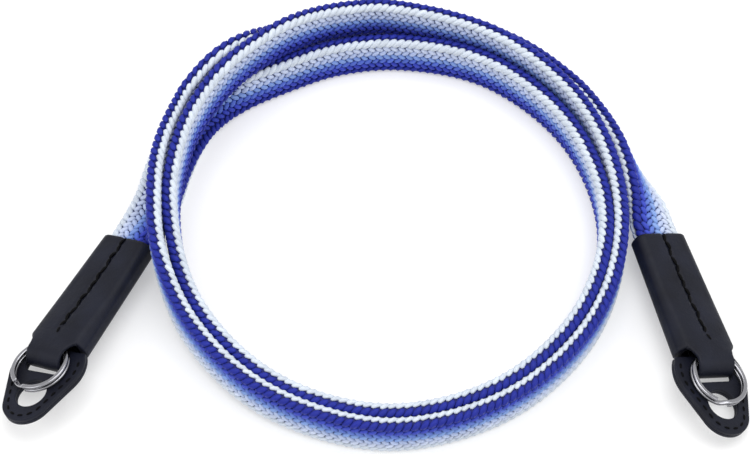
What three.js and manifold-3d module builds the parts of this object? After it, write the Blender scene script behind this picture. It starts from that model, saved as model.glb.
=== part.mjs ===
// A coiled silk camera strap: a flat braided band lying on its edge in two and a half turns,
// with a black leather sleeve, a split ring and a leather ring guard at each end.
// Millimetres, +Z up, the strap lies on the plane z = 0.
import * as THREE from 'three';
import { mergeVertices } from 'three/addons/utils/BufferGeometryUtils.js';
import Module from 'manifold-3d';

const wasm = await Module();
wasm.setup();

// The braided band: its section, and the steps it is swept in.
const BAND_WIDTH = 11.8;
const BAND_THICK = 3.2;
const BAND_CORNER = 1.15;
const BAND_STEPS = 224;

// The coil's centre on the plane it lies on.
const COIL_X = 3.5;
const COIL_Y = 5.0;

// The leather sleeve round each end of the band, in its own frame:
// x runs from the sleeve's mouth towards the ring, y across it, z up, from the middle of its section.
const LEATHER = 1.0;
const SLEEVE_LENGTH = 34.0;
const SLEEVE_WIDTH = 14.8;
const SLEEVE_WIDENING = 0.14;
const SLEEVE_THICK = 5.8;
const SLEEVE_CORNER = 2.2;
const SLEEVE_ROOM = 0.3;
const BAND_IN_SLEEVE = 27.0;
const SEAM_NOTCH = 1.6;

// The tongue: a strap of the same leather that runs on from the sleeve, over the ring and
// the top strip of the guard, down through the guard's slot and back under to the sleeve.
const TONGUE_WIDTH = 10.4;
const TONGUE_FRONT = 41.0;
const TONGUE_TOP = 4.1;
const TONGUE_RISE_FROM = 29.5;
const TONGUE_RISE_TO = 32.6;

// The split ring: two turns of flat wire, stepped over each other for a short way.
const RING_RADIUS = 7.0;
const RING_WIRE = 1.2;
const RING_WIRE_HIGH = 0.9;
const RING_TURN_GAP = 0.2;
const RING_STEP_DEG = 26;
const RING_BASE = 0.7;
const RING_STEPS = 72;

// The guard: a teardrop of two leather layers, a slot for the tongue and a round hole.
const GUARD_THICK = 2.0;
const GUARD_BASE = -1.6;
const GUARD_TOP_EDGE = 35.0;
const GUARD_WIDE_AT = 40.6;
const GUARD_WIDE_RADIUS = 10.1;
const GUARD_TIP_AT = 50.6;
const GUARD_TIP_RADIUS = 6.6;
const GUARD_HOLE_AT = 48.8;
const GUARD_HOLE_RADIUS = 4.1;
const GUARD_SLOT_FROM = 38.3;
const GUARD_SLOT_TO = 41.5;
const GUARD_SLOT_LENGTH = 12.6;

// How each end lies: the middle of its mouth, the way it points (degrees from -Y towards +X),
// its roll, which lifts the side that faces the coil, its pitch, which lifts the ring,
// how far along it the ring's middle lies, and how far the guard has swung round its slot.
const LEFT_END = { x: -62.3, y: -1.0, z: 4.8, heading: -27.2, roll: 21, pitch: 3, ring: 41.6, swing: 4, slide: 0.55 };
const RIGHT_END = { x: 71.7, y: 0.3, z: 5.35, heading: 16, roll: -24, pitch: 0, ring: 42.4, swing: 0, slide: -0.6 };

// The band's way from the left sleeve to the coil, under the two outer turns.
// lean turns the band's top edge away from the coil's centre, 90 when it lies flat.
const LEFT_RUN = [
  { x: -58.6, y: 7.0, z: 3.2, lean: 101 },
  { x: -56.0, y: 14.0, z: 2.0, lean: 92 },
  { x: -53.8, y: 23.0, z: 1.7, lean: 87 },
  { x: -50.9, y: 31.0, z: 2.6, lean: 76 },
  { x: -46.6, y: 38.2, z: 3.9, lean: 61 },
  { x: -40.9, y: 42.8, z: 5.4, lean: 33 },
  { x: -33.9, y: 46.0, z: 5.9, lean: 8 },
];

// The coil, clockwise: bearing of each section from the coil's centre (degrees from +X),
// its radius to the middle of the band, how far its lower edge is lifted off the plane, and its lean.
const COIL = [
  { bearing: 123, radius: 53.6, lift: 0.0, lean: 5 },
  { bearing: 105, radius: 53.0, lift: 0.0, lean: 4 },
  { bearing: 85, radius: 53.1, lift: 0.0, lean: 3 },
  { bearing: 60, radius: 54.1, lift: 0.0, lean: 2 },
  { bearing: 30, radius: 54.5, lift: 0.0, lean: 0 },
  { bearing: 0, radius: 55.2, lift: 0.0, lean: -1 },
  { bearing: -30, radius: 55.1, lift: 0.0, lean: -1 },
  { bearing: -60, radius: 55.5, lift: 0.0, lean: 0 },
  { bearing: -90, radius: 56.0, lift: 0.0, lean: 0 },
  { bearing: -120, radius: 55.2, lift: 0.3, lean: 0 },
  { bearing: -150, radius: 54.8, lift: 2.4, lean: 1 },
  { bearing: -180, radius: 55.0, lift: 6.0, lean: 2 },
  { bearing: -200, radius: 55.9, lift: 8.0, lean: 2 },
  { bearing: -209, radius: 56.1, lift: 9.4, lean: 2 },
  { bearing: -216, radius: 56.0, lift: 10.8, lean: 2 },
  { bearing: -223, radius: 55.8, lift: 12.1, lean: 2 },
  { bearing: -230, radius: 55.9, lift: 12.3, lean: 2 },
  { bearing: -240, radius: 56.5, lift: 12.1, lean: 2 },
  { bearing: -250, radius: 57.9, lift: 10.2, lean: 1 },
  { bearing: -260, radius: 58.8, lift: 8.6, lean: 0 },
  { bearing: -270, radius: 59.2, lift: 7.6, lean: 0 },
  { bearing: -300, radius: 58.9, lift: 5.8, lean: 0 },
  { bearing: -330, radius: 59.4, lift: 2.6, lean: 0 },
  { bearing: -360, radius: 58.9, lift: 0.4, lean: 0 },
  { bearing: -390, radius: 58.9, lift: 0.0, lean: 0 },
  { bearing: -420, radius: 59.3, lift: 0.0, lean: 0 },
  { bearing: -450, radius: 59.9, lift: 0.0, lean: -1 },
  { bearing: -480, radius: 59.2, lift: 1.0, lean: -4 },
  { bearing: -505, radius: 59.0, lift: 3.2, lean: -3 },
  { bearing: -525, radius: 58.9, lift: 7.0, lean: 0 },
  { bearing: -540, radius: 58.8, lift: 8.2, lean: 2 },
  { bearing: -555, radius: 59.9, lift: 7.6, lean: 3 },
  { bearing: -569, radius: 60.7, lift: 8.0, lean: 3 },
  { bearing: -576, radius: 60.3, lift: 10.2, lean: 3 },
  { bearing: -583, radius: 59.8, lift: 11.7, lean: 2 },
  { bearing: -590, radius: 59.7, lift: 10.4, lean: 1 },
  { bearing: -600, radius: 60.3, lift: 5.4, lean: 0 },
  { bearing: -610, radius: 61.7, lift: 2.2, lean: 0 },
  { bearing: -620, radius: 62.6, lift: 0.8, lean: 0 },
  { bearing: -630, radius: 62.9, lift: 0.4, lean: 0 },
  { bearing: -660, radius: 62.8, lift: 0.0, lean: 0 },
  { bearing: -680, radius: 63.1, lift: 0.0, lean: -1 },
  { bearing: -692, radius: 63.5, lift: 0.0, lean: -5 },
];

// The band's way from the coil to the right sleeve, turning its outer face up.
const RIGHT_RUN = [
  { x: 63.9, y: 26.8, z: 6.0, lean: -12 },
  { x: 67.2, y: 18.5, z: 5.7, lean: -27 },
  { x: 69.8, y: 10.7, z: 5.2, lean: -50 },
];

const rad = THREE.MathUtils.degToRad;

// One direction in which an end points, and a point at a distance along it from the mouth.
function endPoint(end, along) {
  const turn = rad(end.heading);
  const level = along * Math.cos(rad(end.pitch));
  const rise = along * Math.sin(rad(end.pitch));
  return new THREE.Vector3(end.x + Math.sin(turn) * level, end.y - Math.cos(turn) * level, end.z + rise);
}

// How high the middle of the band lies above the plane when its lower edge touches it.
function restHeight(lean) {
  const tilt = rad(lean);
  const across = (BAND_WIDTH / 2 - BAND_CORNER) * Math.abs(Math.cos(tilt));
  const through = (BAND_THICK / 2 - BAND_CORNER) * Math.abs(Math.sin(tilt));
  return across + through + BAND_CORNER;
}

// All the sections that the band passes through, from the left end to the right end.
function bandSections() {
  const sections = [];
  const inSleeve = [BAND_IN_SLEEVE, BAND_IN_SLEEVE / 2, 3.0, 0.0, -3.5];
  for (const along of inSleeve) {
    sections.push({ at: endPoint(LEFT_END, along), lean: 90 + LEFT_END.roll });
  }
  for (const row of LEFT_RUN) {
    sections.push({ at: new THREE.Vector3(row.x, row.y, row.z), lean: row.lean });
  }
  for (const row of COIL) {
    const turn = rad(row.bearing);
    const x = COIL_X + row.radius * Math.cos(turn);
    const y = COIL_Y + row.radius * Math.sin(turn);
    sections.push({ at: new THREE.Vector3(x, y, row.lift + restHeight(row.lean)), lean: row.lean });
  }
  for (const row of RIGHT_RUN) {
    sections.push({ at: new THREE.Vector3(row.x, row.y, row.z), lean: row.lean });
  }
  for (const along of inSleeve.slice().reverse()) {
    sections.push({ at: endPoint(RIGHT_END, along), lean: -90 - RIGHT_END.roll });
  }
  return sections;
}

// A smooth curve through the sections that also carries the band's lean along it.
class BandCurve extends THREE.CatmullRomCurve3 {
  constructor(sections) {
    super(sections.map((section) => section.at), false, 'centripetal');
    this.leans = sections.map((section) => section.lean);
    this.arcLengthDivisions = 4000;
  }

  getPoint(t, target = new THREE.Vector3()) {
    super.getPoint(t, target);
    target.z = Math.max(target.z, restHeight(this.leanOf(t)));
    return target;
  }

  leanOf(t) {
    const place = t * (this.leans.length - 1);
    const row = Math.min(Math.floor(place), this.leans.length - 2);
    return THREE.MathUtils.lerp(this.leans[row], this.leans[row + 1], place - row);
  }

  computeFrenetFrames(steps) {
    const tangents = [];
    const normals = [];
    const binormals = [];
    const up = new THREE.Vector3(0, 0, 1);
    for (let i = 0; i <= steps; i += 1) {
      const tangent = this.getTangentAt(i / steps);
      const outward = new THREE.Vector3().crossVectors(up, tangent).normalize();
      const rise = new THREE.Vector3().crossVectors(tangent, outward);
      const lean = rad(this.leanOf(this.getUtoTmapping(i / steps)));
      const edge = rise.clone().multiplyScalar(Math.cos(lean)).addScaledVector(outward, Math.sin(lean));
      tangents.push(tangent);
      normals.push(edge);
      binormals.push(new THREE.Vector3().crossVectors(tangent, edge));
    }
    return { tangents, normals, binormals };
  }
}

// A flat wire ring of two turns, the second lying on the first.
class SplitRingCurve extends THREE.Curve {
  constructor() {
    super();
    this.step = RING_STEP_DEG / 360;
    this.turns = 2 - this.step - 0.01;
  }

  getPoint(t, target = new THREE.Vector3()) {
    const turn = t * this.turns;
    const rise = THREE.MathUtils.smoothstep(turn, 1 - this.step, 1);
    const angle = turn * 2 * Math.PI;
    const height = rise * (RING_WIRE_HIGH + RING_TURN_GAP);
    return target.set(RING_RADIUS * Math.cos(angle), RING_RADIUS * Math.sin(angle), height);
  }

  computeFrenetFrames(steps) {
    const tangents = [];
    const normals = [];
    const binormals = [];
    for (let i = 0; i <= steps; i += 1) {
      const angle = (i / steps) * this.turns * 2 * Math.PI;
      tangents.push(new THREE.Vector3(-Math.sin(angle), Math.cos(angle), 0));
      normals.push(new THREE.Vector3(Math.cos(angle), Math.sin(angle), 0));
      binormals.push(new THREE.Vector3(0, 0, -1));
    }
    return { tangents, normals, binormals };
  }
}

// A rectangle with round corners, centred on the origin.
function roundedRectangle(width, height, corner, Kind = THREE.Shape) {
  const x = width / 2 - corner;
  const y = height / 2 - corner;
  const outline = new Kind();
  outline.absarc(x, y, corner, 0, Math.PI / 2);
  outline.absarc(-x, y, corner, Math.PI / 2, Math.PI);
  outline.absarc(-x, -y, corner, Math.PI, Math.PI * 1.5);
  outline.absarc(x, -y, corner, Math.PI * 1.5, Math.PI * 2);
  outline.closePath();
  return outline;
}

// Geometry with shared points, as joins and cuts need it.
function welded(geometry) {
  const bare = geometry.clone();
  bare.deleteAttribute('normal');
  bare.deleteAttribute('uv');
  return mergeVertices(bare, 1e-4);
}

function toSolid(geometry) {
  const shared = welded(geometry);
  return new wasm.Manifold(new wasm.Mesh({
    numProp: 3,
    vertProperties: new Float32Array(shared.attributes.position.array),
    triVerts: new Uint32Array(shared.index.array),
  }));
}

function toGeometry(solid) {
  const mesh = solid.getMesh();
  const geometry = new THREE.BufferGeometry();
  geometry.setAttribute('position', new THREE.BufferAttribute(new Float32Array(mesh.vertProperties), 3));
  geometry.setIndex(new THREE.BufferAttribute(new Uint32Array(mesh.triVerts), 1));
  geometry.computeVertexNormals();
  return geometry;
}

// Turns an extrusion so that it runs along x, with its shape drawn across and up.
function alongX(geometry) {
  const across = new THREE.Vector3(0, 1, 0);
  const up = new THREE.Vector3(0, 0, 1);
  const along = new THREE.Vector3(1, 0, 0);
  return geometry.applyMatrix4(new THREE.Matrix4().makeBasis(across, up, along));
}

// Turns an extrusion so that its shape stands in the x z plane, centred across.
function standing(geometry, width) {
  const along = new THREE.Vector3(1, 0, 0);
  const up = new THREE.Vector3(0, 0, 1);
  const across = new THREE.Vector3(0, -1, 0);
  geometry.applyMatrix4(new THREE.Matrix4().makeBasis(along, up, across));
  return geometry.translate(0, width / 2, 0);
}

function bandGeometry() {
  const section = roundedRectangle(BAND_WIDTH, BAND_THICK, BAND_CORNER);
  const curve = new BandCurve(bandSections());
  return new THREE.ExtrudeGeometry(section, { steps: BAND_STEPS, curveSegments: 1, extrudePath: curve });
}

function ringGeometry() {
  const wire = roundedRectangle(RING_WIRE, RING_WIRE_HIGH, 0.3);
  const curve = new SplitRingCurve();
  return new THREE.ExtrudeGeometry(wire, { steps: RING_STEPS, curveSegments: 1, extrudePath: curve });
}

function guardGeometry() {
  const spread = Math.acos((GUARD_WIDE_RADIUS - GUARD_TIP_RADIUS) / (GUARD_TIP_AT - GUARD_WIDE_AT));
  const top = Math.acos((GUARD_TOP_EDGE - GUARD_WIDE_AT) / GUARD_WIDE_RADIUS);
  const outline = new THREE.Shape();
  outline.absarc(GUARD_WIDE_AT, 0, GUARD_WIDE_RADIUS, -top, -spread);
  outline.absarc(GUARD_TIP_AT, 0, GUARD_TIP_RADIUS, -spread, spread);
  outline.absarc(GUARD_WIDE_AT, 0, GUARD_WIDE_RADIUS, spread, top);
  outline.closePath();
  const hole = new THREE.Path();
  hole.absarc(GUARD_HOLE_AT, 0, GUARD_HOLE_RADIUS, 0, Math.PI * 2);
  const half = (GUARD_SLOT_TO - GUARD_SLOT_FROM) / 2;
  const middle = GUARD_SLOT_FROM + half;
  const reach = GUARD_SLOT_LENGTH / 2 - half;
  const slot = new THREE.Path();
  slot.absarc(middle, reach, half, 0, Math.PI);
  slot.absarc(middle, -reach, half, Math.PI, Math.PI * 2);
  slot.closePath();
  outline.holes.push(hole, slot);
  const geometry = new THREE.ExtrudeGeometry(outline, {
    depth: GUARD_THICK,
    steps: 1,
    curveSegments: 12,
    bevelEnabled: false,
  });
  return geometry.translate(-middle, 0, GUARD_BASE);
}

// The sleeve is a flat tube of leather, its tongue a loop of the same leather joined to it.
function sleeveGeometry() {
  const half = SLEEVE_THICK / 2;
  const section = roundedRectangle(SLEEVE_WIDTH, SLEEVE_THICK, SLEEVE_CORNER);
  const roomWide = BAND_WIDTH + 2 * SLEEVE_ROOM;
  const roomHigh = SLEEVE_THICK - 2 * LEATHER;
  section.holes.push(roundedRectangle(roomWide, roomHigh, BAND_CORNER, THREE.Path));
  const tube = alongX(new THREE.ExtrudeGeometry(section, {
    depth: SLEEVE_LENGTH,
    steps: 1,
    curveSegments: 3,
    bevelEnabled: false,
  }));
  const places = tube.attributes.position;
  for (let i = 0; i < places.count; i += 1) {
    const wider = 1 + SLEEVE_WIDENING * (places.getX(i) / SLEEVE_LENGTH);
    places.setY(i, places.getY(i) * wider);
  }

  const outer = (TONGUE_TOP + half) / 2;
  const foldX = TONGUE_FRONT - outer;
  const foldZ = TONGUE_TOP - outer;
  const loop = new THREE.Shape();
  loop.moveTo(TONGUE_RISE_FROM, -half);
  loop.absarc(foldX, foldZ, outer, -Math.PI / 2, Math.PI / 2);
  loop.lineTo(TONGUE_RISE_TO, TONGUE_TOP);
  loop.lineTo(TONGUE_RISE_FROM, half);
  loop.lineTo(TONGUE_RISE_FROM, half - LEATHER);
  loop.lineTo(TONGUE_RISE_TO, TONGUE_TOP - LEATHER);
  loop.absarc(foldX, foldZ, outer - LEATHER, Math.PI / 2, -Math.PI / 2, true);
  loop.lineTo(TONGUE_RISE_FROM, LEATHER - half);
  loop.closePath();
  const tongue = standing(new THREE.ExtrudeGeometry(loop, {
    depth: TONGUE_WIDTH,
    steps: 1,
    curveSegments: 5,
    bevelEnabled: false,
  }), TONGUE_WIDTH);

  const notch = new THREE.CylinderGeometry(SEAM_NOTCH, SEAM_NOTCH, SLEEVE_THICK, 4);
  notch.rotateX(Math.PI / 2);
  notch.translate(-SEAM_NOTCH / 2, 0, half + 1.2);
  return toGeometry(toSolid(tube).add(toSolid(tongue)).subtract(toSolid(notch)));
}

const silk = { color: 0x4a63c8, roughness: 0.55, metalness: 0 };
const leather = { color: 0x23252d, roughness: 0.5, metalness: 0 };
const steel = { color: 0xc9cacd, roughness: 0.2, metalness: 1 };

function piece(name, geometry, look) {
  const mesh = new THREE.Mesh(geometry, new THREE.MeshStandardMaterial(look));
  mesh.name = name;
  return mesh;
}

// One end of the strap, placed and rolled as it lies.
function strapEnd(side, end) {
  const group = new THREE.Group();
  group.position.copy(endPoint(end, 0));
  group.rotation.set(rad(end.roll), rad(-end.pitch), rad(end.heading - 90), 'ZYX');
  group.add(piece(`end_sleeve_${side}`, sleeveGeometry(), leather));
  const guard = piece(`ring_guard_${side}`, guardGeometry(), leather);
  guard.position.set((GUARD_SLOT_FROM + GUARD_SLOT_TO) / 2, end.slide, 0);
  guard.rotation.z = rad(end.swing);
  group.add(guard);
  const ring = piece(`split_ring_${side}`, ringGeometry(), steel);
  ring.position.set(end.ring, 0, RING_BASE + RING_WIRE_HIGH / 2);
  group.add(ring);
  return group;
}

const strap = new THREE.Group();
strap.add(piece('strap_band', bandGeometry(), silk));
strap.add(strapEnd('left', LEFT_END));
strap.add(strapEnd('right', RIGHT_END));

// The origin is the middle of the strap's box, on the plane it lies on.
const box = new THREE.Box3().setFromObject(strap, true);
strap.position.set(-(box.min.x + box.max.x) / 2, -(box.min.y + box.max.y) / 2, -box.min.z);

export default strap;
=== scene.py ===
import math
import bpy
import numpy as np
from mathutils import Matrix, Vector


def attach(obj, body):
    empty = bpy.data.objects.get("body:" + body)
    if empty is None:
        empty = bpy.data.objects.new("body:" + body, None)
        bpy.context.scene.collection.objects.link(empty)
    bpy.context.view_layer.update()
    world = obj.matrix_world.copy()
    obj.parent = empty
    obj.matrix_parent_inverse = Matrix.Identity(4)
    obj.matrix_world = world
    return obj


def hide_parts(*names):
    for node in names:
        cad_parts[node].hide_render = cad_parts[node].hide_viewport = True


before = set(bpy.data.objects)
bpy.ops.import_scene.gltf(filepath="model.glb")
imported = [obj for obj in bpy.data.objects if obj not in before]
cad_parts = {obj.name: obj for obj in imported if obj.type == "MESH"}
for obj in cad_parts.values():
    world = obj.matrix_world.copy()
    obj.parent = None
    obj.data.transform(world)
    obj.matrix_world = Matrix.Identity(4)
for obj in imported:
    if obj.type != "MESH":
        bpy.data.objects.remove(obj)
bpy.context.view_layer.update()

# Band route: one length of flat silk braid, laid by hand on its edge in a little over two turns.
# Each end is twisted flat into a leather sleeve, the left one passing under the outer turns.
# The route repeats the solid's sections in millimetres, from the left end to the right end.
MM = 0.001
STRAP_SHIFT = np.array([-0.54919, -6.47433, 0.0])
BAND_WIDTH = 11.8
BAND_THICK = 3.2
BAND_CORNER = 1.15
BAND_IN_SLEEVE = 27.0
COIL_MIDDLE = (3.5, 5.0)

# place of each sleeve's mouth, its angles, and how the ring and the guard lie on its tongue
LEFT_END = dict(
    x=-62.3, y=-1.0, z=4.8, heading=-27.2, roll=21.0, pitch=3.0,
    ring=41.6, swing=4.0, slide=0.55,
)
RIGHT_END = dict(
    x=71.7, y=0.3, z=5.35, heading=16.0, roll=-24.0, pitch=0.0,
    ring=42.4, swing=0.0, slide=-0.6,
)

# x, y, z of the band's middle, lean of its top edge away from the coil's centre in degrees
LEFT_RUN = [
    (-58.6, 7.0, 3.2, 101),
    (-56.0, 14.0, 2.0, 92),
    (-53.8, 23.0, 1.7, 87),
    (-50.9, 31.0, 2.6, 76),
    (-46.6, 38.2, 3.9, 61),
    (-40.9, 42.8, 5.4, 33),
    (-33.9, 46.0, 5.9, 8),
]
RIGHT_RUN = [
    (63.9, 26.8, 6.0, -12),
    (67.2, 18.5, 5.7, -27),
    (69.8, 10.7, 5.2, -50),
]
# bearing from the coil's middle, radius, lift of the lower edge, lean
COIL = [
    (123, 53.6, 0.0, 5),
    (105, 53.0, 0.0, 4),
    (85, 53.1, 0.0, 3),
    (60, 54.1, 0.0, 2),
    (30, 54.5, 0.0, 0),
    (0, 55.2, 0.0, -1),
    (-30, 55.1, 0.0, -1),
    (-60, 55.5, 0.0, 0),
    (-90, 56.0, 0.0, 0),
    (-120, 55.2, 0.3, 0),
    (-150, 54.8, 2.4, 1),
    (-180, 55.0, 6.0, 2),
    (-200, 55.9, 8.0, 2),
    (-209, 56.1, 9.4, 2),
    (-216, 56.0, 10.8, 2),
    (-223, 55.8, 12.1, 2),
    (-230, 55.9, 12.3, 2),
    (-240, 56.5, 12.1, 2),
    (-250, 57.9, 10.2, 1),
    (-260, 58.8, 8.6, 0),
    (-270, 59.2, 7.6, 0),
    (-300, 58.9, 5.8, 0),
    (-330, 59.4, 2.6, 0),
    (-360, 58.9, 0.4, 0),
    (-390, 58.9, 0.0, 0),
    (-420, 59.3, 0.0, 0),
    (-450, 59.9, 0.0, -1),
    (-480, 59.2, 1.0, -4),
    (-505, 59.0, 3.2, -3),
    (-525, 58.9, 7.0, 0),
    (-540, 58.8, 8.2, 2),
    (-555, 59.9, 7.6, 3),
    (-569, 60.7, 8.0, 3),
    (-576, 60.3, 10.2, 3),
    (-583, 59.8, 11.7, 2),
    (-590, 59.7, 10.4, 1),
    (-600, 60.3, 5.4, 0),
    (-610, 61.7, 2.2, 0),
    (-620, 62.6, 0.8, 0),
    (-630, 62.9, 0.4, 0),
    (-660, 62.8, 0.0, 0),
    (-680, 63.1, 0.0, -1),
    (-692, 63.5, 0.0, -5),
]


def rest_height(lean):
    tilt = np.radians(lean)
    across = (BAND_WIDTH / 2 - BAND_CORNER) * np.abs(np.cos(tilt))
    through = (BAND_THICK / 2 - BAND_CORNER) * np.abs(np.sin(tilt))
    return across + through + BAND_CORNER


def end_point(end, along):
    turn = math.radians(end["heading"])
    level = along * math.cos(math.radians(end["pitch"]))
    rise = along * math.sin(math.radians(end["pitch"]))
    return (end["x"] + math.sin(turn) * level, end["y"] - math.cos(turn) * level, end["z"] + rise)


def band_sections():
    in_sleeve = [BAND_IN_SLEEVE, BAND_IN_SLEEVE / 2, 3.0, 0.0, -3.5]
    rows = [end_point(LEFT_END, along) + (90 + LEFT_END["roll"],) for along in in_sleeve]
    rows += LEFT_RUN
    for bearing, radius, lift, lean in COIL:
        turn = math.radians(bearing)
        x = COIL_MIDDLE[0] + radius * math.cos(turn)
        y = COIL_MIDDLE[1] + radius * math.sin(turn)
        rows.append((x, y, lift + float(rest_height(lean)), lean))
    rows += RIGHT_RUN
    in_sleeve.reverse()
    rows += [end_point(RIGHT_END, along) + (-90 - RIGHT_END["roll"],) for along in in_sleeve]
    return np.array(rows)


def smooth_route(rows, per_section=60):
    """A centripetal curve through the sections, with the lean carried along it."""
    points = rows[:, :3]
    padded = np.vstack([2 * points[0] - points[1], points, 2 * points[-1] - points[-2]])
    share = np.linspace(0, 1, per_section, endpoint=False)[:, None]
    path, leans = [], []
    for i in range(len(points) - 1):
        p0, p1, p2, p3 = padded[i:i + 4]
        steps = ((p0, p1), (p1, p2), (p2, p3))
        d0, d1, d2 = (max(np.linalg.norm(b - a), 1e-6) ** 0.5 for a, b in steps)
        t1 = ((p1 - p0) / d0 - (p2 - p0) / (d0 + d1) + (p2 - p1) / d1) * d1
        t2 = ((p2 - p1) / d1 - (p3 - p1) / (d1 + d2) + (p3 - p2) / d2) * d1
        c2 = -3 * p1 + 3 * p2 - 2 * t1 - t2
        c3 = 2 * p1 - 2 * p2 + t1 + t2
        path.append(p1 + t1 * share + c2 * share ** 2 + c3 * share ** 3)
        leans.append(rows[i, 3] + (rows[i + 1, 3] - rows[i, 3]) * share[:, 0])
    path = np.vstack(path + [points[-1:]])
    lean = np.concatenate(leans + [rows[-1:, 3]])
    path[:, 2] = np.maximum(path[:, 2], rest_height(lean))
    return path, lean


ROUTE_STEP = 0.25
LEAN_SOFTENING = 12
route_path, route_lean = smooth_route(band_sections())
route_run = np.concatenate([[0], np.cumsum(np.linalg.norm(np.diff(route_path, axis=0), axis=1))])
BAND_LENGTH = float(route_run[-1])
route_at = np.linspace(0, BAND_LENGTH, int(BAND_LENGTH / ROUTE_STEP) + 1)
route_middle = np.stack([np.interp(route_at, route_run, route_path[:, k]) for k in range(3)], axis=1)
route_tilt = np.radians(np.interp(route_at, route_run, route_lean))
soften = np.hanning(2 * LEAN_SOFTENING + 1)
soften = soften / soften.sum()
route_tilt = np.convolve(np.pad(route_tilt, LEAN_SOFTENING, mode="edge"), soften, mode="valid")
route_tangent = np.gradient(route_middle, axis=0)
route_tangent /= np.linalg.norm(route_tangent, axis=1)[:, None]
route_outward = np.cross([0.0, 0.0, 1.0], route_tangent)
route_outward /= np.linalg.norm(route_outward, axis=1)[:, None]
route_rise = np.cross(route_tangent, route_outward)
route_edge = route_rise * np.cos(route_tilt)[:, None] + route_outward * np.sin(route_tilt)[:, None]
route_inward = np.cross(route_tangent, route_edge)
route_middle = route_middle + STRAP_SHIFT

# Way round the band's section, from the middle of the top edge down the inner face,
# along the bottom edge and up the outer face.
FLAT_EDGE = BAND_THICK / 2 - BAND_CORNER
FLAT_FACE = BAND_WIDTH - 2 * BAND_CORNER
QUARTER = BAND_CORNER * math.pi / 2
HALF_ROUND = 2 * FLAT_EDGE + 2 * QUARTER + FLAT_FACE


def section_place(around):
    """Height up the edge, depth inward, and the outward normal, at a distance round the section."""
    way = (np.asarray(around) + HALF_ROUND) % (2 * HALF_ROUND) - HALF_ROUND
    side = np.where(way < 0, -1.0, 1.0)
    q = np.abs(way)
    half = BAND_WIDTH / 2 - BAND_CORNER
    turn1 = np.clip((q - FLAT_EDGE) / BAND_CORNER, 0, math.pi / 2)
    turn2 = np.clip((q - FLAT_EDGE - QUARTER - FLAT_FACE) / BAND_CORNER, 0, math.pi / 2)
    turn = turn1 + turn2
    down = np.clip(q - FLAT_EDGE - QUARTER, 0, FLAT_FACE)
    on_top = np.clip(q, 0, FLAT_EDGE)
    on_bottom = np.clip(q - FLAT_EDGE - 2 * QUARTER - FLAT_FACE, 0, FLAT_EDGE)
    rise = half - down + BAND_CORNER * np.cos(turn)
    depth = on_top - on_bottom + BAND_CORNER * np.sin(turn)
    return rise, side * depth, np.cos(turn), side * np.sin(turn)


def on_band(along, around, proud):
    """A point on the band in metres: along it, round its section, and proud of its surface."""
    place = np.clip(along / ROUTE_STEP, 0, len(route_at) - 1.001)
    low = place.astype(int)
    part = (place - low)[..., None]

    def between(values):
        return values[low] * (1 - part) + values[low + 1] * part

    rise, depth, up, inward = section_place(around)
    rise = (rise + up * proud)[..., None]
    depth = (depth + inward * proud)[..., None]
    return (between(route_middle) + between(route_edge) * rise + between(route_inward) * depth) * MM


# Braid core: the imported strands under the surface, which show only as dark blue pits between stitches.
# Its dark navy is painted shade for those pits, darker than the dye of any stitch.
# It is a solid silk filling, so it is swept as one closed band a little inside the stitches.
CORE_SUNK = 0.55
CORE_STEPS = 900
CORE_ROUND = 40
CORE_END_GAP = 0.5


def mesh_piece(name, points, faces, material):
    mesh = bpy.data.meshes.new(name)
    mesh.from_pydata([tuple(p) for p in points], [], [tuple(f) for f in faces])
    mesh.validate()
    mesh.shade_smooth()
    piece = bpy.data.objects.new(name, mesh)
    bpy.context.scene.collection.objects.link(piece)
    piece.data.materials.append(material)
    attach(piece, "root")
    return piece


def closed_sweep(rings):
    """Points and faces of a tube through rings of equal count, with both ends closed."""
    count = len(rings[0])
    points = np.concatenate(rings)
    faces = []
    for i in range(len(rings) - 1):
        for k in range(count):
            n = (k + 1) % count
            faces.append((i * count + k, (i + 1) * count + k, (i + 1) * count + n, i * count + n))
    faces.append(tuple(range(count)))
    last = (len(rings) - 1) * count
    faces.append(tuple(last + k for k in reversed(range(count))))
    return points, faces


def new_material(name):
    material = bpy.data.materials.new(name)
    material.use_nodes = True
    nodes = material.node_tree.nodes
    return material, nodes, material.node_tree.links, nodes["Principled BSDF"]


def linear(red, green, blue):
    """An sRGB colour from 0 to 255 as linear light."""
    out = []
    for value in (red, green, blue):
        c = value / 255
        out.append(c / 12.92 if c <= 0.04045 else ((c + 0.055) / 1.055) ** 2.4)
    return out


core_silk_pit_shade, core_nodes, core_links, core_shader = new_material("core_silk_pit_shade")
core_spots = core_nodes.new("ShaderNodeTexNoise")
core_spots.inputs["Scale"].default_value = 900.0
# Painted shade: two dark navies, mottled by the noise, darken the pits between the stitches.
core_pit_shade_blues = core_nodes.new("ShaderNodeValToRGB")
core_pit_shade_blues.color_ramp.elements[0].color = linear(12, 16, 70) + [1]
core_pit_shade_blues.color_ramp.elements[1].color = linear(34, 42, 140) + [1]
core_where = core_nodes.new("ShaderNodeTexCoord")
core_links.new(core_where.outputs["Object"], core_spots.inputs["Vector"])
core_links.new(core_spots.outputs["Fac"], core_pit_shade_blues.inputs["Fac"])
core_links.new(core_pit_shade_blues.outputs["Color"], core_shader.inputs["Base Color"])
core_shader.inputs["Roughness"].default_value = 0.8

core_along = np.linspace(CORE_END_GAP, BAND_LENGTH - CORE_END_GAP, CORE_STEPS)
core_around = np.linspace(0, 2 * HALF_ROUND, CORE_ROUND, endpoint=False)
core_rings = [on_band(np.full(CORE_ROUND, s), core_around, -CORE_SUNK) for s in core_along]
core_points, core_faces = closed_sweep(core_rings)
braid_core = mesh_piece("braid_core", core_points, core_faces, core_silk_pit_shade)
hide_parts("strap_band")

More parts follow.
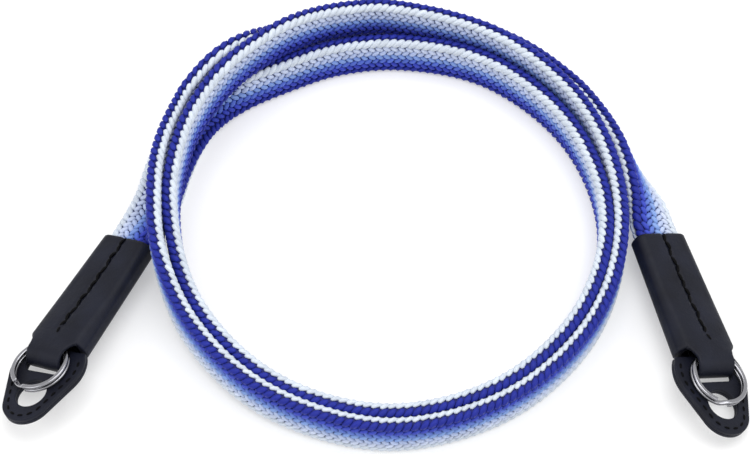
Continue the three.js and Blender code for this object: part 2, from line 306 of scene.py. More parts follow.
# Braid stitches: plump loops of silk cord, each crossing over and under its neighbours.
# Rows in the middle of a face slant alternately as a plait does; the rows at the edges are larger
# and wrap round the corner. Each row keeps its own dyed colour from end to end.
STITCH_PITCH = 2.05
STITCH_RINGS = 6
STITCH_SIDES = 8
SLEEVE_COVER = 23.0
STITCH_SUNK = 0.32
STITCH_BOW = 0.16
SLANT_SPREAD = 2.5
SIZE_SPREAD = 0.03
DYE_SPREAD = 0.035

# row's place round the section, dye in sRGB, half length, half width, plumpness, slant, stagger
INNER_ROWS = [
    (3.80, (200, 210, 233), 1.28, 0.70, 0.56, 38, 0.50),
    (5.38, (182, 196, 229), 1.28, 0.70, 0.56, -38, 0.00),
    (6.98, (128, 156, 216), 1.28, 0.70, 0.56, 38, 0.50),
    (8.58, (84, 108, 200), 1.28, 0.70, 0.56, -38, 0.00),
    (10.18, (54, 68, 178), 1.28, 0.70, 0.56, 38, 0.50),
]
OUTER_ROWS = [
    (-3.80, (60, 76, 186), 1.28, 0.70, 0.56, -38, 0.50),
    (-5.38, (98, 124, 204), 1.28, 0.70, 0.56, 38, 0.00),
    (-6.98, (134, 164, 220), 1.28, 0.70, 0.56, -38, 0.50),
    (-8.58, (184, 198, 229), 1.28, 0.70, 0.56, 38, 0.00),
    (-10.18, (204, 213, 233), 1.28, 0.70, 0.56, -38, 0.50),
]
TOP_EDGE_ROWS = [
    (1.62, (212, 220, 229), 2.10, 0.92, 0.64, -41, 0.00),
    (-1.42, (33, 44, 146), 1.80, 0.90, 0.64, -50, 0.50),
]
BOTTOM_EDGE_ROWS = [
    (HALF_ROUND - 1.55, (33, 44, 146), 1.80, 0.90, 0.64, -50, 0.00),
    (-HALF_ROUND + 1.60, (212, 220, 229), 2.10, 0.92, 0.64, -41, 0.50),
]


def stitch_form():
    """A plump loop of unit size: places along it, across it and proud of it, and its faces."""
    places = [(-1.0, 0.0, 0.0)]
    strand = [(0.0, 0.5)]
    for ring in range(1, STITCH_RINGS):
        turn = math.pi * ring / STITCH_RINGS
        reach = math.sin(turn) ** 0.75
        for side in range(STITCH_SIDES):
            spin = 2 * math.pi * side / STITCH_SIDES
            places.append((-math.cos(turn), reach * math.cos(spin), reach * math.sin(spin)))
            strand.append((ring / STITCH_RINGS, side / STITCH_SIDES))
    places.append((1.0, 0.0, 0.0))
    strand.append((1.0, 0.5))
    faces = []
    tip = len(places) - 1
    for side in range(STITCH_SIDES):
        after = (side + 1) % STITCH_SIDES
        faces.append((0, 1 + after, 1 + side))
        for ring in range(STITCH_RINGS - 2):
            a = 1 + ring * STITCH_SIDES
            b = a + STITCH_SIDES
            faces.append((a + side, a + after, b + after))
            faces.append((a + side, b + after, b + side))
        last = 1 + (STITCH_RINGS - 2) * STITCH_SIDES
        faces.append((last + side, last + after, tip))
    return np.array(places), np.array(strand), np.array(faces)


silk, silk_nodes, silk_links, silk_shader = new_material("dyed_silk")
silk_dye = silk_nodes.new("ShaderNodeAttribute")
silk_dye.attribute_name = "dye"
silk_strand = silk_nodes.new("ShaderNodeUVMap")
silk_strand.uv_map = "strand"
silk_stretch = silk_nodes.new("ShaderNodeMapping")
silk_stretch.inputs["Scale"].default_value = (1.2, 16.0, 1.0)
silk_fibres = silk_nodes.new("ShaderNodeTexNoise")
silk_fibres.inputs["Scale"].default_value = 2.0
silk_fibres.inputs["Detail"].default_value = 3.0
silk_shade = silk_nodes.new("ShaderNodeValToRGB")
silk_shade.color_ramp.elements[0].position = 0.3
silk_shade.color_ramp.elements[0].color = (0.72, 0.74, 0.80, 1)
silk_shade.color_ramp.elements[1].position = 0.62
silk_shade.color_ramp.elements[1].color = (1, 1, 1, 1)
silk_tint = silk_nodes.new("ShaderNodeMix")
silk_tint.data_type = "RGBA"
silk_tint.blend_type = "MULTIPLY"
silk_tint.inputs["Factor"].default_value = 1.0
silk_bump = silk_nodes.new("ShaderNodeBump")
silk_bump.inputs["Strength"].default_value = 0.35
silk_bump.inputs["Distance"].default_value = 0.0001
silk_links.new(silk_strand.outputs["UV"], silk_stretch.inputs["Vector"])
silk_links.new(silk_stretch.outputs["Vector"], silk_fibres.inputs["Vector"])
silk_links.new(silk_fibres.outputs["Fac"], silk_shade.inputs["Fac"])
silk_links.new(silk_dye.outputs["Color"], silk_tint.inputs["A"])
silk_links.new(silk_shade.outputs["Color"], silk_tint.inputs["B"])
silk_links.new(silk_tint.outputs["Result"], silk_shader.inputs["Base Color"])
silk_links.new(silk_fibres.outputs["Fac"], silk_bump.inputs["Height"])
silk_links.new(silk_bump.outputs["Normal"], silk_shader.inputs["Normal"])
silk_shader.inputs["Roughness"].default_value = 0.55
silk_shader.inputs["Specular IOR Level"].default_value = 0.2
silk_shader.inputs["Sheen Weight"].default_value = 0.04
silk_shader.inputs["Sheen Roughness"].default_value = 0.4

stitch_chance = np.random.default_rng(17)
stitch_places, stitch_strand, stitch_faces = stitch_form()


def stitch_rows(name, rows):
    """One joined mesh of all the stitches of some rows, along the band outside the sleeves."""
    points, dyes, strands, faces = [], [], [], []
    made = 0
    for around, dye, half_length, half_width, plump, slant, stagger in rows:
        at = np.arange(SLEEVE_COVER, BAND_LENGTH - SLEEVE_COVER, STITCH_PITCH)
        at = at + stagger * STITCH_PITCH
        count = len(at)
        jitter = stitch_chance.normal(0, 1, (count, 4))
        turn = np.radians(slant + SLANT_SPREAD * jitter[:, 0])[:, None]
        size = (1 + SIZE_SPREAD * jitter[:, 1])[:, None]
        along = stitch_places[None, :, 0] * half_length * size
        across = stitch_places[None, :, 1] * half_width * size
        proud = stitch_places[None, :, 2] * plump - STITCH_SUNK
        bow = STITCH_BOW * (1 - stitch_places[None, :, 0] ** 2)
        s = at[:, None] + along * np.cos(turn) - across * np.sin(turn)
        q = around + along * np.sin(turn) + across * np.cos(turn)
        points.append(on_band(s, q, proud + bow).reshape(-1, 3))
        shade = np.clip(1 + DYE_SPREAD * jitter[:, 2], 0.85, 1.1)[:, None]
        tones = np.array(linear(*dye))[None, :] * shade
        dyes.append(np.repeat(tones, len(stitch_places), axis=0))
        fibre_shift = np.repeat(jitter[:, 3:], len(stitch_places), axis=0)
        strands.append(np.tile(stitch_strand, (count, 1)) + fibre_shift)
        shift = made + np.arange(count)[:, None, None] * len(stitch_places)
        faces.append((stitch_faces[None] + shift).reshape(-1, 3))
        made += count * len(stitch_places)
    points = np.concatenate(points)
    dyes = np.concatenate(dyes)
    strands = np.concatenate(strands)
    faces = np.concatenate(faces)
    mesh = bpy.data.meshes.new(name)
    mesh.vertices.add(len(points))
    mesh.vertices.foreach_set("co", points.ravel())
    mesh.loops.add(faces.size)
    mesh.loops.foreach_set("vertex_index", faces.ravel().astype(np.int32))
    mesh.polygons.add(len(faces))
    mesh.polygons.foreach_set("loop_start", np.arange(0, faces.size, 3, dtype=np.int32))
    mesh.update(calc_edges=True)
    dye_layer = mesh.color_attributes.new("dye", "FLOAT_COLOR", "POINT")
    dye_layer.data.foreach_set("color", np.column_stack([dyes, np.ones(len(dyes))]).ravel())
    strand_layer = mesh.uv_layers.new(name="strand")
    strand_layer.data.foreach_set("uv", strands[faces.ravel()].ravel())
    mesh.validate()
    mesh.shade_smooth()
    piece = bpy.data.objects.new(name, mesh)
    bpy.context.scene.collection.objects.link(piece)
    piece.data.materials.append(silk)
    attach(piece, "root")
    return piece


braid_inner = stitch_rows("braid_inner_face", INNER_ROWS)
braid_outer = stitch_rows("braid_outer_face", OUTER_ROWS)
braid_top = stitch_rows("braid_top_edge", TOP_EDGE_ROWS)
braid_bottom = stitch_rows("braid_bottom_edge", BOTTOM_EDGE_ROWS)

# Leather sleeves: one strip of black leather wrapped round each end of the band,
# its two edges butted and sewn down the middle of the top. It is a little wider at the ring end.
LEATHER = 1.0
SLEEVE_LENGTH = 34.0
SLEEVE_WIDTH = 14.8
SLEEVE_WIDENING = 0.14
SLEEVE_THICK = 5.8
SLEEVE_CORNER = 2.2
SLEEVE_ROOM = 0.3
SLEEVE_ROUND = 132
SLEEVE_ROWS = 46
# distance from the sleeve's end, and how far the rounded rim is drawn in there
SLEEVE_RIM = [(0.0, 0.45), (0.08, 0.16), (0.35, 0.0)]
SLEEVE_CROWN = 0.22
CROWN_INSET = 1.2
SLEEVE_SWELL = 0.98
SWELL_INSET = 0.5
SWELL_FROM = 14.0
SWELL_TO = 33.0
SEAM_END = 32.0
SEAM_DEPTH = 0.5
SEAM_HALF = 0.62
SEAM_FADE = 1.5


def rounded_section(width, height, corner, count):
    """Points round a rectangle with round corners, evenly spaced, from the middle of the top."""
    x, y = width / 2 - corner, height / 2 - corner
    fine = []
    for cx, cy, start in ((x, y, 90), (x, -y, 0), (-x, -y, -90), (-x, y, -180)):
        for step in range(17):
            turn = math.radians(start - 90 * step / 16)
            fine.append((cx + corner * math.cos(turn), cy + corner * math.sin(turn)))
    fine = np.array([(0.0, height / 2)] + fine + [(0.0, height / 2)])
    run = np.concatenate([[0], np.cumsum(np.linalg.norm(np.diff(fine, axis=0), axis=1))])
    at = np.linspace(0, run[-1], count, endpoint=False)
    return np.stack([np.interp(at, run, fine[:, k]) for k in range(2)], axis=1)


def end_matrix(end):
    place = Vector(end_point(end, 0)) + Vector(STRAP_SHIFT)
    turn = Matrix.Rotation(math.radians(end["heading"] - 90), 4, "Z")
    turn = turn @ Matrix.Rotation(math.radians(-end["pitch"]), 4, "Y")
    turn = turn @ Matrix.Rotation(math.radians(end["roll"]), 4, "X")
    return np.array(Matrix.Scale(MM, 4) @ Matrix.Translation(place) @ turn)


def placed(points, matrix):
    return np.asarray(points) @ matrix[:3, :3].T + matrix[:3, 3]


leather, leather_nodes, leather_links, leather_shader = new_material("black_leather")
leather_where = leather_nodes.new("ShaderNodeTexCoord")
leather_pores = leather_nodes.new("ShaderNodeTexVoronoi")
leather_pores.inputs["Scale"].default_value = 2200.0
leather_creases = leather_nodes.new("ShaderNodeTexNoise")
leather_creases.inputs["Scale"].default_value = 420.0
leather_creases.inputs["Detail"].default_value = 6.0
leather_cloud = leather_nodes.new("ShaderNodeTexNoise")
leather_cloud.inputs["Scale"].default_value = 130.0
leather_cloud.inputs["Detail"].default_value = 3.0
leather_tone = leather_nodes.new("ShaderNodeValToRGB")
leather_tone.color_ramp.elements[0].position = 0.3
leather_tone.color_ramp.elements[0].color = linear(12, 14, 25) + [1]
leather_tone.color_ramp.elements[1].position = 0.75
leather_tone.color_ramp.elements[1].color = linear(22, 25, 39) + [1]
leather_gloss = leather_nodes.new("ShaderNodeMapRange")
leather_gloss.inputs["To Min"].default_value = 0.42
leather_gloss.inputs["To Max"].default_value = 0.62
leather_grain = leather_nodes.new("ShaderNodeBump")
leather_grain.inputs["Strength"].default_value = 0.25
leather_grain.inputs["Distance"].default_value = 0.00012
leather_pull = leather_nodes.new("ShaderNodeBump")
leather_pull.inputs["Strength"].default_value = 0.3
leather_pull.inputs["Distance"].default_value = 0.0003
for texture in (leather_pores, leather_creases, leather_cloud):
    leather_links.new(leather_where.outputs["Object"], texture.inputs["Vector"])
leather_links.new(leather_cloud.outputs["Fac"], leather_tone.inputs["Fac"])
leather_links.new(leather_tone.outputs["Color"], leather_shader.inputs["Base Color"])
leather_links.new(leather_creases.outputs["Fac"], leather_gloss.inputs["Value"])
leather_links.new(leather_gloss.outputs["Result"], leather_shader.inputs["Roughness"])
leather_links.new(leather_creases.outputs["Fac"], leather_pull.inputs["Height"])
leather_links.new(leather_pores.outputs["Distance"], leather_grain.inputs["Height"])
leather_links.new(leather_pull.outputs["Normal"], leather_grain.inputs["Normal"])
leather_links.new(leather_grain.outputs["Normal"], leather_shader.inputs["Normal"])
leather_shader.inputs["Specular IOR Level"].default_value = 0.2


def eased(value, start, end):
    share = np.clip((value - start) / (end - start), 0, 1)
    return share * share * (3 - 2 * share)


def sleeve_top(along, across):
    """Height of the sleeve's top, crowned across and swelling toward the ring."""
    half = SLEEVE_WIDTH * (1 + SLEEVE_WIDENING * along / SLEEVE_LENGTH) / 2
    crown = SLEEVE_CROWN * np.clip(1 - (across / (half - CROWN_INSET)) ** 2, 0, 1)
    swell = SLEEVE_SWELL * np.clip(1 - (across / (half - SWELL_INSET)) ** 4, 0, 1)
    return SLEEVE_THICK / 2 + crown + swell * eased(along, SWELL_FROM, SWELL_TO)


def sleeve_ring(along, inset):
    wide = SLEEVE_WIDTH * (1 + SLEEVE_WIDENING * along / SLEEVE_LENGTH) - 2 * inset
    thick = SLEEVE_THICK - 2 * inset
    ring = rounded_section(wide, thick, SLEEVE_CORNER - inset / 2, SLEEVE_ROUND)
    across, up = ring[:, 0], ring[:, 1]
    raised = sleeve_top(along, across) - SLEEVE_THICK / 2
    groove = SEAM_DEPTH * np.exp(-(across / SEAM_HALF) ** 2)
    groove = groove * eased(along, SEAM_END + SEAM_FADE, SEAM_END - SEAM_FADE)
    top = np.where(up > 0, raised - groove, 0)
    return np.stack([np.full(len(ring), along), across, up + top], axis=1)


def sleeve_room_ring(along):
    wide = BAND_WIDTH + 2 * SLEEVE_ROOM
    ring = rounded_section(wide, SLEEVE_THICK - 2 * LEATHER, BAND_CORNER, SLEEVE_ROUND)
    return np.stack([np.full(len(ring), along), ring[:, 0], ring[:, 1]], axis=1)


def leather_sleeve(side, matrix):
    rings = [sleeve_room_ring(x) for x in (SLEEVE_LENGTH - 0.2, SLEEVE_LENGTH / 2, 0.25)]
    rings += [sleeve_ring(back, inset) for back, inset in SLEEVE_RIM]
    rings += [sleeve_ring(x, 0.0) for x in np.linspace(1.0, SLEEVE_LENGTH - 1.0, SLEEVE_ROWS)]
    rings += [sleeve_ring(SLEEVE_LENGTH - back, inset) for back, inset in reversed(SLEEVE_RIM)]
    count = SLEEVE_ROUND
    faces = []
    for i in range(len(rings)):
        j = (i + 1) % len(rings)
        for k in range(count):
            n = (k + 1) % count
            faces.append((i * count + k, j * count + k, j * count + n, i * count + n))
    points = placed(np.concatenate(rings), matrix)
    sleeve = mesh_piece(f"leather_sleeve_{side}", points, faces, leather)
    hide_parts(f"end_sleeve_{side}")


end_places = {"left": end_matrix(LEFT_END), "right": end_matrix(RIGHT_END)}
for side, matrix in end_places.items():
    leather_sleeve(side, matrix)

# Tongues: the same leather running on from the top of each sleeve, cut in to a narrower strap.
# It bends over the ring, goes down through the guard's slot and back under into the sleeve.
TONGUE_WIDTH = 10.4
TONGUE_FLARE = 13.6
TONGUE_FRONT = 41.0
TONGUE_TOP = 4.1
TONGUE_FROM = 30.0
TONGUE_SURFACES = (31.0, 33.0)
TONGUE_SUNK = 0.08
TONGUE_PROUD = 0.03
TONGUE_BACK_TO = 30.5
TONGUE_CUT_IN = 34.3
TONGUE_CUT_LENGTH = 2.9
TONGUE_CORNER = 0.32
TONGUE_ROUND = 96
TONGUE_ROWS = 40
FOLD_ROWS = 33
BACK_ROWS = 8
FOLD_RADIUS = (TONGUE_TOP + SLEEVE_THICK / 2) / 2


def tongue_line():
    """Middle line of the strap from the sleeve's top round the fold and back, as x, z and normal."""
    middle = FOLD_RADIUS - LEATHER / 2
    fold_x, fold_z = TONGUE_FRONT - FOLD_RADIUS, TONGUE_TOP - FOLD_RADIUS
    line = []
    for x in np.linspace(TONGUE_FROM, fold_x, TONGUE_ROWS, endpoint=False):
        flush = sleeve_top(min(x, SLEEVE_LENGTH), 0.0) - TONGUE_SUNK
        flush += (TONGUE_SUNK + TONGUE_PROUD) * eased(x, *TONGUE_SURFACES)
        level = eased(x, SLEEVE_LENGTH, fold_x)
        line.append((x, flush + (TONGUE_TOP - flush) * level - LEATHER / 2))
    for turn in np.radians(np.linspace(90, -90, FOLD_ROWS)):
        line.append((fold_x + middle * math.cos(turn), fold_z + middle * math.sin(turn)))
    for x in np.linspace(fold_x, TONGUE_BACK_TO, BACK_ROWS)[1:]:
        line.append((x, fold_z - middle))
    line = np.array(line)
    way = np.gradient(line, axis=0)
    way /= np.linalg.norm(way, axis=1)[:, None]
    return line, np.stack([-way[:, 1], way[:, 0]], axis=1)


def tongue_ring(point, normal, width, crowned):
    section = rounded_section(width, LEATHER, TONGUE_CORNER, TONGUE_ROUND)
    along = min(point[0], SLEEVE_LENGTH)
    droop = crowned * (sleeve_top(along, section[:, 0]) - sleeve_top(along, 0.0))
    x = point[0] + normal[0] * section[:, 1]
    z = point[1] + normal[1] * section[:, 1] + droop
    return np.stack([x, section[:, 0], z], axis=1)


def leather_tongue(side, matrix):
    line, normals = tongue_line()
    rings = []
    for i, (point, normal) in enumerate(zip(line, normals)):
        on_top = i < TONGUE_ROWS
        cut_in, crowned = 1.0, 0.0
        if on_top:
            cut_in = np.clip((point[0] - TONGUE_CUT_IN) / TONGUE_CUT_LENGTH, 0, 1) ** 0.5
            crowned = 1 - eased(point[0], SLEEVE_LENGTH, TONGUE_FRONT - FOLD_RADIUS)
        width = TONGUE_FLARE + (TONGUE_WIDTH - TONGUE_FLARE) * cut_in
        rings.append(tongue_ring(point, normal, width, crowned))
    points, faces = closed_sweep(rings)
    mesh_piece(f"leather_tongue_{side}", placed(points, matrix), faces, leather)


for side, matrix in end_places.items():
    leather_tongue(side, matrix)

# Seam thread: waxed black thread sewn by hand along each sleeve's butted edges.
# Each stitch is a short round length that dips into the leather at both ends.
SEAM_FROM = 0.9
SEAM_PITCH = 2.35
SEAM_AHEAD = 0.4
SEAM_SUNK = 0.16
SEAM_SWAY = 0.22
SEAM_TURNS = (-20, 16)
SEAM_STITCH_HALF = 1.35
SEAM_STITCH_DIP = 0.38
SEAM_THREAD = 0.42

thread, thread_nodes, thread_links, thread_shader = new_material("waxed_thread")
thread_where = thread_nodes.new("ShaderNodeTexCoord")
thread_twist = thread_nodes.new("ShaderNodeTexWave")
thread_twist.bands_direction = "DIAGONAL"
thread_twist.inputs["Scale"].default_value = 1500.0
thread_bump = thread_nodes.new("ShaderNodeBump")
thread_bump.inputs["Strength"].default_value = 0.5
thread_bump.inputs["Distance"].default_value = 0.0001
thread_links.new(thread_where.outputs["Object"], thread_twist.inputs["Vector"])
thread_links.new(thread_twist.outputs["Fac"], thread_bump.inputs["Height"])
thread_links.new(thread_bump.outputs["Normal"], thread_shader.inputs["Normal"])
thread_shader.inputs["Base Color"].default_value = linear(5, 5, 7) + [1]
thread_shader.inputs["Roughness"].default_value = 0.6
thread_shader.inputs["Specular IOR Level"].default_value = 0.08


def thread_stitch(middle, way, half, round_by, dip):
    """Rings of one stitch, lying along way in the level plane and bowed down at its ends."""
    rings = []
    across = np.array([-way[1], way[0], 0.0])
    along = np.array([way[0], way[1], 0.0])
    for share in np.linspace(-1, 1, 9):
        thin = round_by * (1 - 0.5 * share ** 4)
        centre = np.asarray(middle) + along * half * share + np.array([0, 0, -dip * share ** 2])
        spin = np.linspace(0, 2 * math.pi, 8, endpoint=False)[:, None]
        up = np.array([0, 0, 1.0])
        rings.append(centre + across * thin * np.cos(spin) + up * thin * np.sin(spin))
    return rings


def thread_piece(name, stitches, matrix):
    points, faces, made = [], [], 0
    for rings in stitches:
        some, around = closed_sweep(rings)
        points.append(some)
        faces += [tuple(k + made for k in face) for face in around]
        made += len(some)
    mesh_piece(name, placed(np.concatenate(points), matrix), faces, thread)


def seam_stitches():
    stitches = []
    for i, along in enumerate(np.arange(SEAM_FROM, SEAM_END, SEAM_PITCH)):
        turn = math.radians(SEAM_TURNS[i % 2])
        way = (math.cos(turn), math.sin(turn))
        sway = SEAM_SWAY * math.sin(i * 2.1)
        middle = (along + SEAM_AHEAD, sway, float(sleeve_top(along, 0.0)) - SEAM_SUNK)
        stitches.append(thread_stitch(middle, way, SEAM_STITCH_HALF, SEAM_THREAD, SEAM_STITCH_DIP))
    return stitches


for side, matrix in end_places.items():
    thread_piece(f"seam_thread_{side}", seam_stitches(), matrix)

# Ring guards: a teardrop of two layers of black leather glued and sewn together round the edge.
# The tongue goes through the slot, and the round hole lets the ring reach the camera.
GUARD_THICK = 2.0
GUARD_BASE = -1.6
GUARD_TOP_EDGE = 35.0
GUARD_WIDE_AT = 40.6
GUARD_WIDE_RADIUS = 10.1
GUARD_TIP_AT = 50.6
GUARD_TIP_RADIUS = 6.6
GUARD_HOLE_AT = 48.8
GUARD_HOLE_RADIUS = 4.1
GUARD_SLOT_FROM = 38.3
GUARD_SLOT_TO = 42.4
GUARD_SLOT_LENGTH = 12.6
GUARD_SLOT_AT = 39.9
GUARD_EDGE_ROUND = 0.24
GUARD_STITCH_INSET = 1.5
GUARD_STITCH_FROM = 1.2
GUARD_STITCH_LEFT = 1.0
GUARD_STITCH_PITCH = 2.5
GUARD_STITCH_HALF = 0.95
GUARD_STITCH_DIP = 0.36
GUARD_STITCH_PROUD = 0.04
GUARD_THREAD = 0.3


def arc(cx, radius, start, end, count):
    turns = np.linspace(start, end, count)
    return [(cx - GUARD_SLOT_AT + radius * math.cos(t), radius * math.sin(t)) for t in turns]


def guard_outline(inset=0.0):
    wide, tip = GUARD_WIDE_RADIUS - inset, GUARD_TIP_RADIUS - inset
    spread = math.acos((wide - tip) / (GUARD_TIP_AT - GUARD_WIDE_AT))
    top = math.acos((GUARD_TOP_EDGE + inset - GUARD_WIDE_AT) / wide)
    outline = arc(GUARD_WIDE_AT, wide, -top, -spread, 16)
    outline += arc(GUARD_TIP_AT, tip, -spread, spread, 40)
    outline += arc(GUARD_WIDE_AT, wide, spread, top, 16)
    return outline


def guard_slot_outline():
    half = (GUARD_SLOT_TO - GUARD_SLOT_FROM) / 2
    reach = GUARD_SLOT_LENGTH / 2 - half
    middle = GUARD_SLOT_FROM + half - GUARD_SLOT_AT
    ends = [(half * math.cos(t), reach + half * math.sin(t)) for t in np.linspace(0, math.pi, 12)]
    return [(middle + x, y) for x, y in ends] + [(middle - x, -y) for x, y in ends]


def leather_plate(low, high):
    """A flat plate of leather with the guard's outline, hole and slot, its edges rounded."""
    curve = bpy.data.curves.new("plate", "CURVE")
    curve.dimensions = "2D"
    curve.fill_mode = "BOTH"
    hole = arc(GUARD_HOLE_AT, GUARD_HOLE_RADIUS, 0, 2 * math.pi, 41)[:-1]
    for outline in (guard_outline(), hole, guard_slot_outline()):
        spline = curve.splines.new("POLY")
        spline.points.add(len(outline) - 1)
        spline.use_cyclic_u = True
        for point, (x, y) in zip(spline.points, outline):
            point.co = (x, y, 0, 1)
    curve.extrude = (high - low) / 2 - GUARD_EDGE_ROUND
    curve.bevel_depth = GUARD_EDGE_ROUND
    curve.bevel_resolution = 3
    curve.offset = -GUARD_EDGE_ROUND
    drawn = bpy.data.objects.new("plate", curve)
    bpy.context.scene.collection.objects.link(drawn)
    bpy.context.view_layer.update()
    filled = drawn.evaluated_get(bpy.context.evaluated_depsgraph_get())
    mesh = bpy.data.meshes.new_from_object(filled)
    points = np.array([v.co for v in mesh.vertices]) + np.array([0, 0, (low + high) / 2])
    faces = [tuple(p.vertices) for p in mesh.polygons]
    bpy.data.objects.remove(drawn)
    bpy.data.meshes.remove(mesh)
    return points, faces


def guard_matrix(end):
    slid = Matrix.Translation((GUARD_SLOT_AT, end["slide"], 0))
    swung = Matrix.Rotation(math.radians(end["swing"]), 4, "Z")
    return end_matrix(end) @ np.array(slid @ swung)


def guard_stitches():
    line = np.array(guard_outline(GUARD_STITCH_INSET))
    run = np.concatenate([[0], np.cumsum(np.linalg.norm(np.diff(line, axis=0), axis=1))])
    stitches = []
    for at in np.arange(GUARD_STITCH_FROM, run[-1] - GUARD_STITCH_LEFT, GUARD_STITCH_PITCH):
        here = [np.interp(at, run, line[:, k]) for k in range(2)]
        there = [np.interp(at + 0.3, run, line[:, k]) for k in range(2)]
        way = np.subtract(there, here)
        way = way / np.linalg.norm(way)
        middle = (here[0], here[1], GUARD_BASE + GUARD_THICK + GUARD_STITCH_PROUD)
        stitches.append(thread_stitch(middle, way, GUARD_STITCH_HALF, GUARD_THREAD, GUARD_STITCH_DIP))
    return stitches


GUARD_SEAM = GUARD_BASE + GUARD_THICK / 2
for side, end in (("left", LEFT_END), ("right", RIGHT_END)):
    matrix = guard_matrix(end)
    upper_points, upper_faces = leather_plate(GUARD_SEAM, GUARD_BASE + GUARD_THICK)
    lower_points, lower_faces = leather_plate(GUARD_BASE, GUARD_SEAM)
    both = np.concatenate([upper_points, lower_points])
    faces = upper_faces + [tuple(k + len(upper_points) for k in face) for face in lower_faces]
    guard = mesh_piece(f"leather_guard_{side}", placed(both, matrix), faces, leather)
    guard.data.set_sharp_from_angle(angle=math.radians(40))
    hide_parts(f"ring_guard_{side}")
    thread_piece(f"guard_thread_{side}", guard_stitches(), matrix)

# Split rings: two turns of flattened spring steel wire, polished bright.
# The wire steps from one turn to the other over a short way, where a camera lug is slid on.
RING_RADIUS = 7.0
RING_WIRE = 1.2
RING_WIRE_HIGH = 0.9
RING_TURN_GAP = 0.2
RING_STEP = 26 / 360
RING_BASE = 0.7
RING_STEPS = 300
RING_CORNER = 0.36
RING_WIRE_POINTS = 20
RING_END_GAP = 0.01

steel, steel_nodes, steel_links, steel_shader = new_material("polished_steel")
steel_where = steel_nodes.new("ShaderNodeTexCoord")
steel_marks = steel_nodes.new("ShaderNodeTexNoise")
steel_marks.inputs["Scale"].default_value = 1500.0
steel_marks.inputs["Detail"].default_value = 4.0
steel_wear = steel_nodes.new("ShaderNodeMapRange")
steel_wear.inputs["To Min"].default_value = 0.16
steel_wear.inputs["To Max"].default_value = 0.30
steel_bump = steel_nodes.new("ShaderNodeBump")
steel_bump.inputs["Strength"].default_value = 0.08
steel_bump.inputs["Distance"].default_value = 0.00005
steel_links.new(steel_where.outputs["Object"], steel_marks.inputs["Vector"])
steel_links.new(steel_marks.outputs["Fac"], steel_wear.inputs["Value"])
steel_links.new(steel_wear.outputs["Result"], steel_shader.inputs["Roughness"])
steel_links.new(steel_marks.outputs["Fac"], steel_bump.inputs["Height"])
steel_links.new(steel_bump.outputs["Normal"], steel_shader.inputs["Normal"])
steel_shader.inputs["Base Color"].default_value = linear(158, 158, 163) + [1]
steel_shader.inputs["Metallic"].default_value = 1.0


def ring_rings(end):
    turns = 2 - RING_STEP - RING_END_GAP
    wire = rounded_section(RING_WIRE, RING_WIRE_HIGH, RING_CORNER, RING_WIRE_POINTS)
    rings = []
    for turn in np.linspace(0, turns, RING_STEPS):
        ease = np.clip((turn - (1 - RING_STEP)) / RING_STEP, 0, 1)
        height = ease * ease * (3 - 2 * ease) * (RING_WIRE_HIGH + RING_TURN_GAP)
        spin = 2 * math.pi * turn
        out = RING_RADIUS - wire[:, 0]
        x = end["ring"] + out * math.cos(spin)
        y = out * math.sin(spin)
        z = RING_BASE + RING_WIRE_HIGH / 2 + height + wire[:, 1]
        rings.append(np.stack([x, y, z], axis=1))
    return rings


for side, end in (("left", LEFT_END), ("right", RIGHT_END)):
    points, faces = closed_sweep(ring_rings(end))
    ring = mesh_piece(f"steel_ring_{side}", placed(points, end_matrix(end)), faces, steel)
    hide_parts(f"split_ring_{side}")

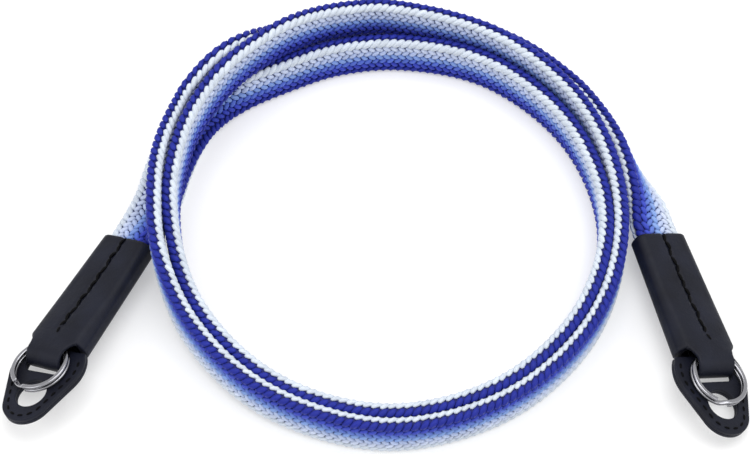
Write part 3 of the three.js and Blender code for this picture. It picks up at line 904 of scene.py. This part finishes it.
# Studio: a plain pale floor that carries the strap, lit a little from within like a light table,
# and soft light from overhead and both sides.
FLOOR_DROP = 0.0003
FLOOR_REACH = 3.0
floor_paint, _, _, floor_shader = new_material("pale_floor")
floor_shader.inputs["Base Color"].default_value = (0.64, 0.64, 0.64, 1)
floor_shader.inputs["Emission Color"].default_value = (1, 1, 1, 1)
floor_shader.inputs["Emission Strength"].default_value = 0.34
floor_shader.inputs["Roughness"].default_value = 0.9
floor_shader.inputs["Specular IOR Level"].default_value = 0.1
floor_mesh = bpy.data.meshes.new("floor")
floor_sides = ((-1, -1), (1, -1), (1, 1), (-1, 1))
floor_corners = [(x * FLOOR_REACH, y * FLOOR_REACH, -FLOOR_DROP) for x, y in floor_sides]
floor_mesh.from_pydata(floor_corners, [], [(0, 1, 2, 3)])
floor = bpy.data.objects.new("floor", floor_mesh)
floor.data.materials.append(floor_paint)
bpy.context.scene.collection.objects.link(floor)

studio = bpy.data.worlds.new("studio")
studio.use_nodes = True
studio.node_tree.nodes["Background"].inputs["Color"].default_value = (1.0, 1.0, 1.0, 1)
studio.node_tree.nodes["Background"].inputs["Strength"].default_value = 0.78
bpy.context.scene.world = studio
bpy.context.scene.view_settings.view_transform = "Standard"

# x, y, z of each soft light, its width in metres and its watts
for name, place, width, watts in (
    ("overhead", (0.1, 0.15, 1.1), 0.9, 7.0),
    ("left_side", (-0.8, -0.3, 0.7), 0.6, 2.4),
    ("right_side", (0.8, -0.2, 0.6), 0.6, 1.6),
):
    lamp = bpy.data.lights.new(name, "AREA")
    lamp.size = width
    lamp.energy = watts
    holder = bpy.data.objects.new(name, lamp)
    holder.location = place
    toward_strap = Vector((0, 0, 0.01)) - Vector(place)
    holder.rotation_euler = toward_strap.to_track_quat("-Z", "Y").to_euler()
    bpy.context.scene.collection.objects.link(holder)

# Camera: above and in front of the strap, as photographed.
VIEW_RISE = math.radians(58.8)
VIEW_FAR = 594.5
VIEW_PIXELS = 2364.0
view_target = np.array([0.0, 0.0, 12.0]) + STRAP_SHIFT
view_place = view_target + VIEW_FAR * np.array([0.0, -math.cos(VIEW_RISE), math.sin(VIEW_RISE)])
view = bpy.data.cameras.new("view")
view.sensor_fit = "HORIZONTAL"
view.sensor_width = 36.0
view.lens = 36.0 * VIEW_PIXELS / 750
view.clip_start = 0.01
camera = bpy.data.objects.new("view", view)
camera.location = Vector(view_place * MM)
camera.rotation_euler = (math.pi / 2 - VIEW_RISE, 0.0, 0.0)
bpy.context.scene.collection.objects.link(camera)
bpy.context.scene.camera = camera
